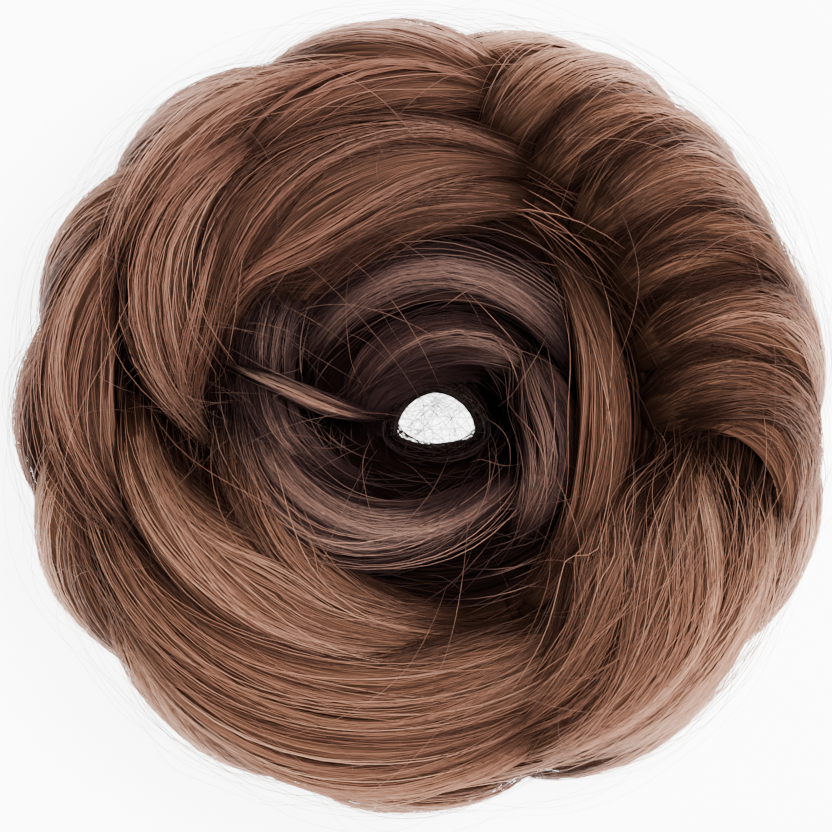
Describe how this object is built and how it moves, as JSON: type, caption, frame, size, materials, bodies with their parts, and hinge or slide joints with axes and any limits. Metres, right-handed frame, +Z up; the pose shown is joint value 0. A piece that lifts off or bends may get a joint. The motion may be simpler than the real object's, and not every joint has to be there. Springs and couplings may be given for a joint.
{
  "type": "top knot hairpiece",
  "caption": "Messy-bun hairpiece: wavy brown false hair sewn in a swirling ring round an open middle, on an elastic band worn over a bun.",
  "frame": {"origin": "on the surface that it lies on, under the middle of the bun's outline", "axes": "+Z up, out of the open middle; +Y the far side as seen in the picture; +X to its right"},
  "size_m": [0.1502, 0.1466, 0.0598],
  "materials": {
    "hair_light": "satin golden brown synthetic hair",
    "hair_brown": "satin mid brown synthetic hair",
    "hair_dark": "satin dark brown synthetic hair",
    "elastic": "matte covered elastic"
  },
  "bodies": {
    "root": {"elastic_band": "elastic", "inner_weft": "hair_dark", "sweep_weft": "hair_light", "fall_weft": "hair_light", "crown_weft": "hair_brown", "curl_weft": "hair_brown"}
  },
  "joints": []
}
